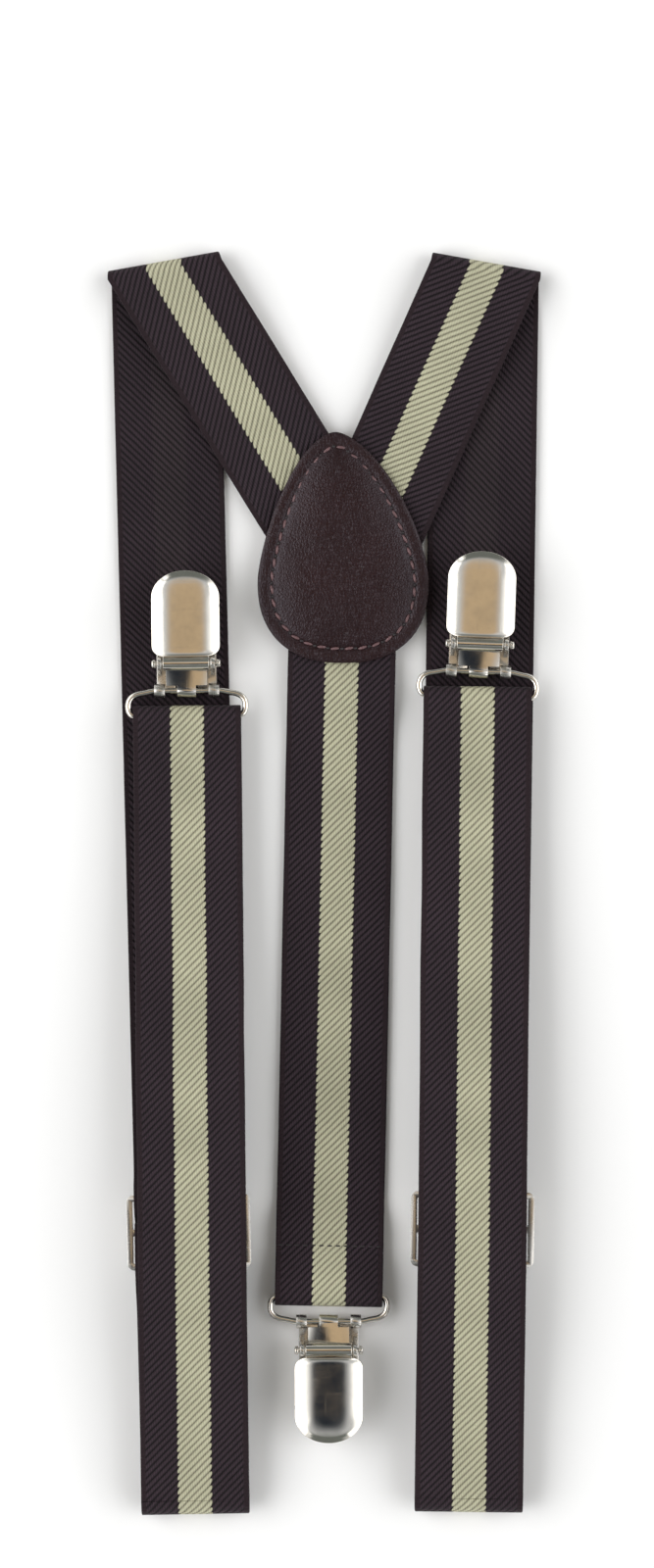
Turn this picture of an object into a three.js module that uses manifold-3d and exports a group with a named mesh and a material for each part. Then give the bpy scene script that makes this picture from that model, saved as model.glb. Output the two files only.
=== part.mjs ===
// Elastic Y-back suspenders with three metal clips, folded flat for storage.
// Millimetres, +X to the right, +Y towards the shoulder folds, +Z up from the surface they lie on.
import * as THREE from "three";
import { mergeVertices } from "three/addons/utils/BufferGeometryUtils.js";
import Module from "manifold-3d";

const wasm = await Module();
wasm.setup();

// Webbing
const webWidth = 25;
const webThick = 1.2;
const layerGap = 0.3; // between pieces that rest on each other
const layerPitch = webThick + layerGap; // from the middle of one layer to the next
const floorLayer = webThick / 2; // middle of a layer lying on the surface
const curveSteps = 8;
const tall = 40; // height of the blocks that shapes are trimmed with

// Folds: radius to the middle of the webbing
const bottomFoldRadius = 3;
const topFoldRadius = 1.5;
const topFoldTilt = 11; // degrees, rising towards the middle
const topFoldWidth = 26;
const topBendStart = 138;

// Wire bails and the webbing loops around them
const wireRadius = 0.7;
const loopRadius = 1.75; // middle of the webbing
const barSpacing = 5.8; // clip bar to strap bar
const bailHalfWidth = 13.6;
const frontBailHeight = 3.9;
const backBailHeight = loopRadius + floorLayer;

// Slide adjusters
const adjusterPlace = 62; // from the bottom fold
const adjusterHeight = 3.9;
const adjusterBar = 1.4;
const slotLength = 6.6;
const adjusterHalfWidth = bailHalfWidth + wireRadius;
const endBarPlace = slotLength + adjusterBar;

// Clips
const sheet = 0.8; // sheet metal of the jaws
const knuckleRadius = wireRadius + 0.15 + sheet;
const jawLength = 25.6;
const leverLength = 27.8; // clip bar to the lever's tip
const leverHalfWidth = 7.95;
const leverCrown = 1.3; // rise of the lever's middle over its edges
const leverTop = 6.05;
const leverSheet = 0.7;
const pinPlace = new THREE.Vector2(6.2, 4.55); // lever pin from the clip bar, y and z
const pinRadius = 0.55;
const pinHole = 0.85;
const camClosedRadius = 2.6;
const camOpenRadius = 1.34;
const camTurn = 95; // degrees over which the cam's radius falls
const earInner = 5.7;
const earOuter = 6.6;

// Leatherette patch
const patchTop = 104.7;
const patchWaist = 70.15; // height of its widest line
const patchBottom = 50.9;
const patchHalfWidth = 19.95;
const patchMiddle = 4.2;
const patchLean = 1.8; // how far its top stands to the left of its middle
const patchThick = 1.2;
const patchBackInset = 0.8; // the backing is cut smaller and clears the rear straps

// Plan of the folded suspenders
const plan = {
  left: {
    topFold: new THREE.Vector2(-37.2, 142.3),
    bottomFold: new THREE.Vector2(-30.05, -142.9),
    clipBar: new THREE.Vector2(-32.05, 44.55),
    clipTurn: 0.1,
    inward: 1,
  },
  right: {
    topFold: new THREE.Vector2(37.2, 142.1),
    bottomFold: new THREE.Vector2(33.3, -142.4),
    clipBar: new THREE.Vector2(35.4, 49),
    clipTurn: -1.4,
    inward: -1,
  },
};
const backStrapTop = new THREE.Vector2(4.1, 62.5);
const backClipBar = new THREE.Vector2(0.7, -101.9);
const backClipTurn = 1.3;
const shoulderMeet = new THREE.Vector2(6, 72.2);
const crotch = new THREE.Vector2(4.2, 98.9);

// ---- materials ----

const finishes = {
  webbing: { color: 0x2f262b, roughness: 0.9, metalness: 0 },
  leatherette: { color: 0x422d2f, roughness: 0.42, metalness: 0 },
  nickel: { color: 0xc9c6bd, roughness: 0.18, metalness: 1 },
  plastic: { color: 0x1c1c1e, roughness: 0.55, metalness: 0 },
};

function mesh(name, geometry, finish) {
  const made = new THREE.Mesh(geometry, new THREE.MeshStandardMaterial(finishes[finish]));
  made.name = name;
  return made;
}

// ---- solids ----

function toManifold(geometry) {
  const bare = geometry.clone().deleteAttribute("normal").deleteAttribute("uv");
  const merged = mergeVertices(bare, 1e-4);
  return new wasm.Manifold(
    new wasm.Mesh({
      numProp: 3,
      vertProperties: merged.attributes.position.array,
      triVerts: new Uint32Array(merged.index.array),
    }),
  );
}

function toGeometry(manifold) {
  const made = manifold.getMesh();
  return new THREE.BufferGeometry()
    .setAttribute("position", new THREE.BufferAttribute(made.vertProperties, 3))
    .setIndex(new THREE.BufferAttribute(made.triVerts, 1));
}

function join(...geometries) {
  return toGeometry(geometries.map(toManifold).reduce((a, b) => a.add(b)));
}

function keepInside(geometry, outline) {
  return toGeometry(toManifold(geometry).intersect(toManifold(outline)));
}

// ---- basic shapes ----

// A shape drawn in Y and Z, given a width along X.
const drawnFromTheSide = new THREE.Matrix4().makeBasis(
  new THREE.Vector3(0, 1, 0),
  new THREE.Vector3(0, 0, 1),
  new THREE.Vector3(1, 0, 0),
);

function sideExtrude(shape, width, middle = 0, curveSegments = curveSteps) {
  return new THREE.ExtrudeGeometry(shape, { depth: width, bevelEnabled: false, curveSegments })
    .translate(0, 0, middle - width / 2)
    .applyMatrix4(drawnFromTheSide);
}

// A shape drawn in X and Y, given a thickness upwards from z.
function flatExtrude(shape, thickness, z, curveSegments = curveSteps) {
  return new THREE.ExtrudeGeometry(shape, {
    depth: thickness,
    bevelEnabled: false,
    curveSegments,
  }).translate(0, 0, z);
}

// The outline of a band of even thickness along a path.
function bandShape(path, thickness) {
  const points = path.getPoints(curveSteps);
  const above = [];
  const below = [];
  points.forEach((point, i) => {
    const before = points[Math.max(i - 1, 0)];
    const after = points[Math.min(i + 1, points.length - 1)];
    const across = new THREE.Vector2(before.y - after.y, after.x - before.x).setLength(thickness / 2);
    above.push(point.clone().add(across));
    below.unshift(point.clone().sub(across));
  });
  return new THREE.Shape([...above, ...below]);
}

function ringShape(outer, inner) {
  const shape = new THREE.Shape().absarc(0, 0, outer, 0, 2 * Math.PI);
  shape.holes.push(new THREE.Path().absarc(0, 0, inner, 0, 2 * Math.PI));
  return shape;
}

function webbing(path) {
  return sideExtrude(bandShape(path, webThick), webWidth);
}

// A smooth rise or fall from where the path is to (y, z), level at both ends.
function ease(path, y, z) {
  const from = path.currentPoint.clone();
  const reach = (y - from.x) / 2;
  return path.bezierCurveTo(from.x + reach, from.y, y - reach, z, y, z);
}

// Puts a group at one point of the plan, turned so that its +Y points at another.
function aim(group, from, to) {
  group.position.set(from.x, from.y, 0);
  group.rotation.z = Math.atan2(to.y - from.y, to.x - from.x) - Math.PI / 2;
  return from.distanceTo(to);
}

// ---- straps of one side ----

// Lies on the surface and weaves through the adjuster: over its end bars, under its middle bar.
function rearStrapPath(length) {
  const overBar = adjusterHeight + adjusterBar / 2 + layerGap + webThick / 2;
  const ramp = 7.5;
  const path = new THREE.Path().moveTo(layerGap, floorLayer);
  path.lineTo(adjusterPlace - endBarPlace - ramp, floorLayer);
  ease(path, adjusterPlace - endBarPlace, overBar);
  ease(path, adjusterPlace, floorLayer);
  ease(path, adjusterPlace + endBarPlace, overBar);
  ease(path, adjusterPlace + endBarPlace + ramp, floorLayer);
  return path.lineTo(length, floorLayer);
}

// From the bottom fold up over the adjuster, round the bail, and back down as the inner layer.
function frontStrapPath(length) {
  const crest = adjusterPlace - endBarPlace / 2;
  const innerFold = floorLayer + 2 * bottomFoldRadius - layerPitch;
  const innerCrest = 8.6; // clears the webbing on the adjuster
  const path = new THREE.Path().moveTo(layerGap, innerFold + layerPitch);
  ease(path, crest, innerCrest + layerPitch);
  ease(path, length, frontBailHeight + loopRadius);
  path.absarc(length, frontBailHeight, loopRadius, Math.PI / 2, -Math.PI / 2, true);
  ease(path, crest, innerCrest);
  return ease(path, layerGap, innerFold);
}

// The inner layer's end: over the adjuster's lower bar and round its middle bar.
function tailPath() {
  const slack = 0.05;
  const aboveStrap = adjusterHeight + adjusterBar / 2 + 2 * layerPitch - webThick / 2 + slack;
  const ramp = 13;
  const path = new THREE.Path().moveTo(layerGap, floorLayer + layerPitch);
  path.lineTo(adjusterPlace - endBarPlace - ramp, floorLayer + layerPitch);
  ease(path, adjusterPlace - endBarPlace, aboveStrap);
  ease(path, adjusterPlace, adjusterHeight + loopRadius);
  return path.absarc(adjusterPlace, adjusterHeight, loopRadius, Math.PI / 2, -Math.PI / 2, true);
}

function halfRing(radius, width) {
  const path = new THREE.Path().absarc(0, 0, radius, Math.PI / 2, -Math.PI / 2, false);
  return sideExtrude(bandShape(path, webThick), width);
}

function foldAngle(side) {
  return THREE.MathUtils.degToRad(topFoldTilt * plan[side].inward);
}

// A tall block over the part of the plan that lies below a line through a point.
function belowLine(point, angle) {
  const reach = 400;
  return new THREE.BoxGeometry(2 * reach, reach, tall)
    .translate(0, -reach / 2, 0)
    .rotateZ(angle)
    .translate(point.x, point.y, 0);
}

// Bakes a group's placing into a geometry, so that it can be cut in the plan.
function placed(geometry, group) {
  group.updateMatrix();
  return geometry.clone().applyMatrix4(group.matrix);
}

function wholeRearStrap(side) {
  const { topFold, bottomFold } = plan[side];
  const lay = new THREE.Group();
  const length = aim(lay, bottomFold, topFold);
  const pastTheFold = 6;
  return placed(webbing(rearStrapPath(length + pastTheFold)), lay);
}

// From the top fold down to the patch, where the two shoulder straps meet in a mitre.
function wholeShoulderStrap(side) {
  const { topFold, inward } = plan[side];
  const lay = new THREE.Group();
  const length = aim(lay, topFold, shoulderMeet);
  const pastTheFold = 12;
  const pastTheMeeting = 30;
  const levelStart = 5;
  const path = new THREE.Path().moveTo(-pastTheFold, floorLayer + 2 * topFoldRadius);
  path.lineTo(levelStart, floorLayer + 2 * topFoldRadius);
  ease(path, length / 2, floorLayer + layerPitch);
  path.lineTo(length + pastTheMeeting, floorLayer + layerPitch);

  // The mitre runs along the line from the crotch to the point where the straps meet.
  const down = shoulderMeet.clone().sub(crotch).normalize();
  const gap = (layerGap / 2) * inward;
  const top = crotch.clone().addScaledVector(down, -2 * webWidth);
  const end = backStrapTop.y + layerGap;
  const mitreEnd = crotch.x + (down.x / down.y) * (end - crotch.y);
  const outside = -3 * webWidth * inward;
  const ownHalf = new THREE.Shape([
    new THREE.Vector2(top.x - gap, top.y),
    new THREE.Vector2(outside, top.y),
    new THREE.Vector2(outside, end),
    new THREE.Vector2(mitreEnd - gap, end),
  ]);
  return keepInside(placed(webbing(path), lay), flatExtrude(ownHalf, tall, -tall / 2));
}

// The rear and shoulder straps are one webbing folded along a tilted line. The stretch above
// topBendStart is the part that flexes when the fold opens.
function foldedTop(side) {
  const { topFold } = plan[side];
  const fold = belowLine(topFold, foldAngle(side));
  const rear = keepInside(wholeRearStrap(side), fold);
  const shoulder = keepInside(wholeShoulderStrap(side), fold);
  const flexing = new THREE.Vector2(0, topBendStart + layerGap);
  const aboveFlex = belowLine(flexing, Math.PI);
  const turn = halfRing(topFoldRadius, topFoldWidth)
    .rotateZ(Math.PI + foldAngle(side))
    .translate(topFold.x, topFold.y, floorLayer + topFoldRadius);
  const bend = join(keepInside(rear, aboveFlex), turn, keepInside(shoulder, aboveFlex));
  const belowFlex = belowLine(new THREE.Vector2(0, topBendStart), 0);
  return [
    mesh(`${side}_rear_strap`, keepInside(rear, belowFlex), "webbing"),
    mesh(`${side}_top_bend`, bend, "webbing"),
    mesh(`${side}_shoulder_strap`, keepInside(shoulder, belowFlex), "webbing"),
  ];
}

// Turned halfway between the directions of the rear and front straps.
function bottomBend(name, side, radius) {
  const { topFold, bottomFold, clipBar } = plan[side];
  const bend = mesh(name, halfRing(radius, webWidth), "webbing");
  const rear = topFold.clone().sub(bottomFold).normalize();
  const front = clipBar.clone().sub(bottomFold).normalize();
  bend.rotation.z = rear.add(front).angle() - Math.PI / 2;
  bend.position.set(bottomFold.x, bottomFold.y, floorLayer + bottomFoldRadius);
  return bend;
}

// ---- adjuster ----

function adjuster(side) {
  const halfLength = endBarPlace + adjusterBar / 2;
  const frame = roundedRectangle(adjusterHalfWidth, halfLength, 1.6);
  const slotHalfWidth = adjusterHalfWidth - adjusterBar;
  for (const way of [-1, 1]) {
    const middle = (way * (adjusterBar + slotLength)) / 2;
    frame.holes.push(roundedRectangle(slotHalfWidth, slotLength / 2, 0.4, middle));
  }
  const plate = flatExtrude(frame, adjusterBar, adjusterHeight - adjusterBar / 2, 3);
  return mesh(`${side}_adjuster`, plate, "nickel");
}

function roundedRectangle(halfWidth, halfLength, radius, middle = 0) {
  const shape = new THREE.Shape();
  const x = halfWidth - radius;
  const y = halfLength - radius;
  shape.absarc(x, middle - y, radius, -Math.PI / 2, 0);
  shape.absarc(x, middle + y, radius, 0, Math.PI / 2);
  shape.absarc(-x, middle + y, radius, Math.PI / 2, Math.PI);
  shape.absarc(-x, middle - y, radius, Math.PI, 1.5 * Math.PI);
  shape.closePath();
  return shape;
}

// ---- clips: origin on the clip bar, +Y towards the lever's tip ----

// One bent wire whose ends butt in the middle of the strap bar, inside the webbing's loop.
// The clip bar is straight under the knuckles, and the shoulders beside it slope back.
function bail() {
  const corner = 1.6;
  const outline = new THREE.Path().moveTo(layerGap / 2, -barSpacing);
  outline.lineTo(bailHalfWidth - corner, -barSpacing);
  outline.quadraticCurveTo(bailHalfWidth, -barSpacing, bailHalfWidth, corner - barSpacing);
  outline.quadraticCurveTo(bailHalfWidth, -1.1, 10.8, -0.6);
  outline.lineTo(8.4, -0.1);
  outline.lineTo(7.9, 0);
  const half = outline.getPoints(5).map((p) => new THREE.Vector3(p.x, p.y, 0));
  const otherHalf = half.map((p) => new THREE.Vector3(-p.x, p.y, 0)).reverse();
  const route = new THREE.CatmullRomCurve3([...half, ...otherHalf], false, "catmullrom", 0);
  const section = new THREE.Shape().absarc(0, 0, wireRadius, 0, 2 * Math.PI);
  return new THREE.ExtrudeGeometry(section, { steps: 56, extrudePath: route, curveSegments: 4 });
}

// A flat plate with ears for the lever's pin and two knuckles curled round the clip bar.
function backJaw() {
  const halfWidth = 6.9;
  const tip = 4;
  const start = 0.4;
  const notchHalfWidth = 2.6; // clears the front jaw's tab
  const notchEnd = 2.2;
  const outline = new THREE.Shape().moveTo(notchHalfWidth, start);
  outline.lineTo(halfWidth, start);
  outline.lineTo(halfWidth, jawLength - tip);
  outline.absarc(halfWidth - tip, jawLength - tip, tip, 0, Math.PI / 2);
  outline.absarc(tip - halfWidth, jawLength - tip, tip, Math.PI / 2, Math.PI);
  outline.lineTo(-halfWidth, start);
  outline.lineTo(-notchHalfWidth, start);
  outline.lineTo(-notchHalfWidth, notchEnd);
  outline.lineTo(notchHalfWidth, notchEnd);
  const pieces = [flatExtrude(outline, sheet, -knuckleRadius, 4)];

  const knuckle = ringShape(knuckleRadius, knuckleRadius - sheet);
  const knuckleWidth = 2.4;
  const knucklePlace = 6.3;
  const earRadius = 1.5;
  const earFoot = 2.8; // half its length at the plate
  const ear = new THREE.Shape().moveTo(pinPlace.x - earFoot, -knuckleRadius);
  ear.lineTo(pinPlace.x + earFoot, -knuckleRadius);
  ear.absarc(pinPlace.x, pinPlace.y, earRadius, 0, Math.PI);
  ear.holes.push(new THREE.Path().absarc(pinPlace.x, pinPlace.y, pinHole, 0, 2 * Math.PI));
  for (const way of [-1, 1]) {
    pieces.push(sideExtrude(knuckle, knuckleWidth, way * knucklePlace));
    pieces.push(sideExtrude(ear, earOuter - earInner, (way * (earInner + earOuter)) / 2, 6));
  }
  return join(...pieces);
}

// A plate between the ears that widens past them, with one tab curled round the clip bar.
function frontJaw() {
  const neck = 4.75;
  const neckStart = 1.2;
  const neckEnd = 9.8;
  const halfWidth = 6.4;
  const tip = 3.5;
  const tabWidth = 4.3;
  const tabStart = 0.2;
  const outline = new THREE.Shape().moveTo(neck, neckStart);
  outline.lineTo(neck, neckEnd);
  outline.lineTo(halfWidth, neckEnd + 1);
  outline.lineTo(halfWidth, jawLength - tip);
  outline.absarc(halfWidth - tip, jawLength - tip, tip, 0, Math.PI / 2);
  outline.absarc(tip - halfWidth, jawLength - tip, tip, Math.PI / 2, Math.PI);
  outline.lineTo(-halfWidth, neckEnd + 1);
  outline.lineTo(-neck, neckEnd);
  outline.lineTo(-neck, neckStart);
  outline.lineTo(-tabWidth / 2, neckStart);
  outline.lineTo(-tabWidth / 2, tabStart);
  outline.lineTo(tabWidth / 2, tabStart);
  outline.lineTo(tabWidth / 2, neckStart);
  const plate = flatExtrude(outline, sheet, knuckleRadius - sheet, 4);
  const tab = sideExtrude(ringShape(knuckleRadius, knuckleRadius - sheet), tabWidth);
  return join(plate, tab);
}

// A toothed strip between the jaws.
function gripPad() {
  const width = 8;
  const height = knuckleRadius - sheet - layerGap;
  const toothDepth = 0.35;
  const toothPitch = 1.5;
  const teeth = 5;
  const start = jawLength - 1 - teeth * toothPitch;
  const profile = new THREE.Shape().moveTo(start, -height);
  profile.lineTo(start + teeth * toothPitch, -height);
  for (let i = teeth; i > 0; i--) {
    profile.lineTo(start + i * toothPitch, height);
    profile.lineTo(start + (i - 0.5) * toothPitch, height - toothDepth);
  }
  profile.lineTo(start, height);
  return sideExtrude(profile, width);
}

function pin() {
  const headRadius = 1;
  const headLength = 0.9;
  const chamfer = 0.3;
  const end = leverHalfWidth;
  const half = [
    new THREE.Vector2(pinRadius, end - headLength),
    new THREE.Vector2(headRadius, end - headLength),
    new THREE.Vector2(headRadius, end - chamfer),
    new THREE.Vector2(headRadius - chamfer, end),
    new THREE.Vector2(0, end),
  ];
  const otherHalf = half.map((p) => new THREE.Vector2(p.x, -p.y)).reverse();
  return new THREE.LatheGeometry([...otherHalf, ...half], 12).rotateZ(-Math.PI / 2);
}

// The lever about its pin: a spiral cam that lets the front jaw rise as the lever is lifted,
// and an arched cover. Drawn at the pin, lying closed along +Y.
function lever() {
  const camWidth = 9.8;
  const steps = 16;
  const cam = new THREE.Shape();
  for (let i = 0; i <= steps; i++) {
    const turned = (camTurn * i) / steps;
    const radius = camClosedRadius + ((camOpenRadius - camClosedRadius) * i) / steps;
    const angle = THREE.MathUtils.degToRad(-90 - turned);
    const point = [radius * Math.cos(angle), radius * Math.sin(angle)];
    if (i === 0) cam.moveTo(...point);
    else cam.lineTo(...point);
  }
  const topRadius = leverTop - pinPlace.y;
  cam.absarc(0, 0, topRadius, THREE.MathUtils.degToRad(170), Math.PI / 2, true);
  const neckEnd = 4.6;
  const frontOfCam = 2.2;
  cam.lineTo(neckEnd, topRadius);
  cam.lineTo(neckEnd, topRadius - leverSheet);
  cam.lineTo(frontOfCam, topRadius - leverSheet);
  cam.lineTo(1.7, -1.4);
  cam.holes.push(new THREE.Path().absarc(0, 0, pinHole, 0, 2 * Math.PI));
  const barrel = sideExtrude(cam, camWidth, 0, 6);

  const archRadius = (leverHalfWidth ** 2 + leverCrown ** 2) / (2 * leverCrown) - leverSheet / 2;
  const archHalfAngle = 0.4;
  const arch = new THREE.Path().absarc(
    0,
    topRadius - leverSheet / 2 - archRadius,
    archRadius,
    Math.PI / 2 + archHalfAngle,
    Math.PI / 2 - archHalfAngle,
    true,
  );
  const tip = leverLength - pinPlace.x;
  const shell = new THREE.ExtrudeGeometry(bandShape(arch, leverSheet), {
    depth: leverLength,
    bevelEnabled: false,
  })
    .rotateX(Math.PI / 2)
    .translate(0, tip + 1, 0);

  // Its outline: rounded lower corners and a rounded free end.
  const start = 1.7;
  const cornerEnd = start + 2.4;
  const cornerPull = start + 0.4;
  const startHalfWidth = 5.4;
  const roundLength = 6.3;
  const roundEnd = tip - roundLength;
  const outline = new THREE.Shape().moveTo(-startHalfWidth, start);
  outline.lineTo(startHalfWidth, start);
  outline.quadraticCurveTo(leverHalfWidth, cornerPull, leverHalfWidth, cornerEnd);
  outline.lineTo(leverHalfWidth, roundEnd);
  outline.absellipse(0, roundEnd, leverHalfWidth, roundLength, 0, Math.PI);
  outline.lineTo(-leverHalfWidth, cornerEnd);
  outline.quadraticCurveTo(-leverHalfWidth, cornerPull, -startHalfWidth, start);
  return join(barrel, keepInside(shell, flatExtrude(outline, tall, -tall / 2)));
}

// A bail and its clip, each on a pivot group: strap bar, clip bar, lever pin.
function clip(side) {
  const bailPivot = new THREE.Group();
  bailPivot.name = `${side}_bail_swing`;
  const onBail = mesh(`${side}_bail`, bail(), "nickel");
  onBail.position.y = barSpacing;

  const clipPivot = new THREE.Group();
  clipPivot.name = `${side}_clip_swing`;
  clipPivot.position.y = barSpacing;
  const leverPivot = new THREE.Group();
  leverPivot.name = `${side}_lever_flip`;
  leverPivot.position.set(0, pinPlace.x, pinPlace.y);

  leverPivot.add(mesh(`${side}_lever`, lever(), "nickel"));
  const leverPin = mesh(`${side}_lever_pin`, pin(), "nickel");
  leverPin.position.copy(leverPivot.position);
  clipPivot.add(
    leverPin,
    mesh(`${side}_back_jaw`, backJaw(), "nickel"),
    mesh(`${side}_front_jaw`, frontJaw(), "nickel"),
    mesh(`${side}_grip_pad`, gripPad(), "plastic"),
    leverPivot,
  );
  bailPivot.add(onBail, clipPivot);
  return bailPivot;
}

// ---- one side: rear strap, folds, front strap, adjuster and clip ----

function sideAssembly(side) {
  const { topFold, bottomFold, clipBar, clipTurn } = plan[side];
  const group = new THREE.Group();
  group.add(...foldedTop(side));
  group.add(bottomBend(`${side}_bottom_bend`, side, bottomFoldRadius));
  group.add(bottomBend(`${side}_inner_bend`, side, bottomFoldRadius - layerPitch));

  const rear = new THREE.Group();
  aim(rear, bottomFold, topFold);
  const slide = new THREE.Group();
  slide.name = `${side}_adjuster_slide`;
  slide.position.y = adjusterPlace;
  slide.add(adjuster(side));
  rear.add(mesh(`${side}_tail`, webbing(tailPath()), "webbing"), slide);

  const front = new THREE.Group();
  front.name = `${side}_front_fold`;
  const length = aim(front, bottomFold, clipBar) - barSpacing;
  const fitting = clip(side);
  fitting.position.set(0, length, frontBailHeight);
  fitting.rotation.z = THREE.MathUtils.degToRad(clipTurn);
  front.add(mesh(`${side}_front_strap`, webbing(frontStrapPath(length)), "webbing"), fitting);
  group.add(rear, front);
  return group;
}

// ---- the back: patch, back strap and its clip ----

// Egg outline: fuller below its waist, and drawn up to a round point above it.
function patchOutline(inset = 0) {
  const count = 52;
  const halfWidth = patchHalfWidth - inset;
  const points = [];
  for (let i = 0; i < count; i++) {
    const angle = (2 * Math.PI * i) / count;
    const rise = Math.abs(Math.sin(angle));
    const side = Math.sign(Math.cos(angle));
    if (angle < Math.PI) {
      const spread = (1 - rise ** 1.45) ** 0.6;
      const middle = patchMiddle - patchLean * rise ** 2;
      const height = patchTop - patchWaist - inset;
      points.push(new THREE.Vector2(middle + side * spread * halfWidth, patchWaist + height * rise));
    } else {
      const spread = (1 - rise ** 2.4) ** 0.42;
      const height = patchWaist - patchBottom - inset;
      points.push(new THREE.Vector2(patchMiddle + side * spread * halfWidth, patchWaist - height * rise));
    }
  }
  return new THREE.Shape(points);
}

// Under the patch, down to the surface, over its own hem and round the bail.
function backStrapPath(length) {
  const hem = 11.8;
  const underPatch = 14;
  const fall = 18;
  const path = new THREE.Path().moveTo(0, floorLayer + layerPitch);
  path.lineTo(underPatch, floorLayer + layerPitch);
  ease(path, underPatch + fall, floorLayer);
  path.lineTo(length - 2 * hem, floorLayer);
  ease(path, length - hem - 2, floorLayer + layerPitch + 0.1);
  ease(path, length, backBailHeight + loopRadius);
  path.absarc(length, backBailHeight, loopRadius, Math.PI / 2, -Math.PI / 2, true);
  return path.lineTo(length - hem, floorLayer);
}

function backAssembly() {
  const group = new THREE.Group();
  const upper = patchThick + webThick + 2 * layerGap;
  group.add(
    mesh("patch_back", flatExtrude(patchOutline(patchBackInset), patchThick, 0), "leatherette"),
    mesh("patch_front", flatExtrude(patchOutline(), patchThick, upper), "leatherette"),
  );
  const strap = new THREE.Group();
  const length = aim(strap, backStrapTop, backClipBar) - barSpacing;
  const fitting = clip("back");
  fitting.position.set(0, length, backBailHeight);
  fitting.rotation.z = THREE.MathUtils.degToRad(backClipTurn);
  strap.add(mesh("back_strap", webbing(backStrapPath(length)), "webbing"), fitting);
  group.add(strap);
  return group;
}

const suspenders = new THREE.Group();
suspenders.name = "suspenders";
suspenders.add(sideAssembly("left"), sideAssembly("right"), backAssembly());

// The origin is the middle of the footprint.
suspenders.updateMatrixWorld(true);
const footprint = new THREE.Box3().setFromObject(suspenders, true).getCenter(new THREE.Vector3());
suspenders.position.set(-footprint.x, -footprint.y, 0);

export default suspenders;
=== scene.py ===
import math
from bisect import bisect_right

import bmesh
import bpy
from mathutils import Matrix, Vector, noise


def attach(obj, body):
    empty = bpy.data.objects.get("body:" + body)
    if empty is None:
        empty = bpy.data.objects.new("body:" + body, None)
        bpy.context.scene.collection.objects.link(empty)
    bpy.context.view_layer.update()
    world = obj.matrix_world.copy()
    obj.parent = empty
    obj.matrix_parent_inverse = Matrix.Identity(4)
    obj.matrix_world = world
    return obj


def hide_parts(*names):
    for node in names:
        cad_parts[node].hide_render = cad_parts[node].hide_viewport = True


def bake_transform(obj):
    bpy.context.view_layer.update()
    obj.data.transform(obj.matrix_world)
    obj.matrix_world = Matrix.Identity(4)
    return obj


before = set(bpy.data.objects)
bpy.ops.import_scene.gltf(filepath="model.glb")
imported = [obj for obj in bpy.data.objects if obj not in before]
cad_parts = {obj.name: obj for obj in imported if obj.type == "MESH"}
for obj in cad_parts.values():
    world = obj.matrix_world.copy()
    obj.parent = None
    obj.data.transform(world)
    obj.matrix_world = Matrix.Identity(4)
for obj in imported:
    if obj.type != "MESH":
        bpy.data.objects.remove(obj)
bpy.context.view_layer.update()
mm = 0.001
scene = bpy.context.scene
print("frame loaded")


def feed(tree, socket, value):
    if isinstance(value, bpy.types.NodeSocket):
        tree.links.new(value, socket)
    else:
        socket.default_value = value


def doMath(tree, operation, *values, clamp=False):
    node = tree.nodes.new("ShaderNodeMath")
    node.operation = operation
    node.use_clamp = clamp
    for socket, value in zip(node.inputs, values):
        feed(tree, socket, value)
    return node.outputs[0]


def mulAdd(tree, value, factor, shift, clamp=False):
    return doMath(tree, "MULTIPLY_ADD", value, factor, shift, clamp=clamp)


# A round-topped ridge across each unit of the phase.
def ridge(tree, phase, power):
    offMiddle = doMath(tree, "ABSOLUTE", mulAdd(tree, phase, 2.0, -1.0))
    return doMath(tree, "SUBTRACT", 1.0, doMath(tree, "POWER", offMiddle, power))


def ramp(tree, value, low, high):
    node = tree.nodes.new("ShaderNodeMapRange")
    node.interpolation_type = "SMOOTHSTEP"
    feed(tree, node.inputs["Value"], value)
    node.inputs["From Min"].default_value = low
    node.inputs["From Max"].default_value = high
    return node.outputs["Result"]


def mixColors(tree, factor, first, second):
    node = tree.nodes.new("ShaderNodeMix")
    node.data_type = "RGBA"
    feed(tree, node.inputs["Factor"], factor)
    feed(tree, node.inputs["A"], first)
    feed(tree, node.inputs["B"], second)
    return node.outputs["Result"]


def addNoise(tree, vector, scale, detail=3.0, roughness=0.5):
    node = tree.nodes.new("ShaderNodeTexNoise")
    feed(tree, node.inputs["Vector"], vector)
    node.inputs["Scale"].default_value = scale
    node.inputs["Detail"].default_value = detail
    node.inputs["Roughness"].default_value = roughness
    return node.outputs["Fac"]


def stretched(tree, vector, scale, turn=(0, 0, 0)):
    node = tree.nodes.new("ShaderNodeMapping")
    feed(tree, node.inputs["Vector"], vector)
    node.inputs["Scale"].default_value = scale
    node.inputs["Rotation"].default_value = turn
    return node.outputs["Vector"]


def joinedVector(tree, x, y):
    node = tree.nodes.new("ShaderNodeCombineXYZ")
    feed(tree, node.inputs["X"], x)
    feed(tree, node.inputs["Y"], y)
    return node.outputs["Vector"]


def newGroup(name, inputs, outputs):
    tree = bpy.data.node_groups.new(name, "ShaderNodeTree")
    for label, kind, value in inputs:
        socket = tree.interface.new_socket(label, in_out="INPUT", socket_type=kind)
        if value is not None:
            socket.default_value = value
    for label, kind in outputs:
        tree.interface.new_socket(label, in_out="OUTPUT", socket_type=kind)
    given = tree.nodes.new("NodeGroupInput")
    result = tree.nodes.new("NodeGroupOutput")
    return tree, given.outputs, result.inputs


def placeGroup(tree, group, **values):
    node = tree.nodes.new("ShaderNodeGroup")
    node.node_tree = group
    for label, value in values.items():
        feed(tree, node.inputs[label], value)
    return node.outputs


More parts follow.
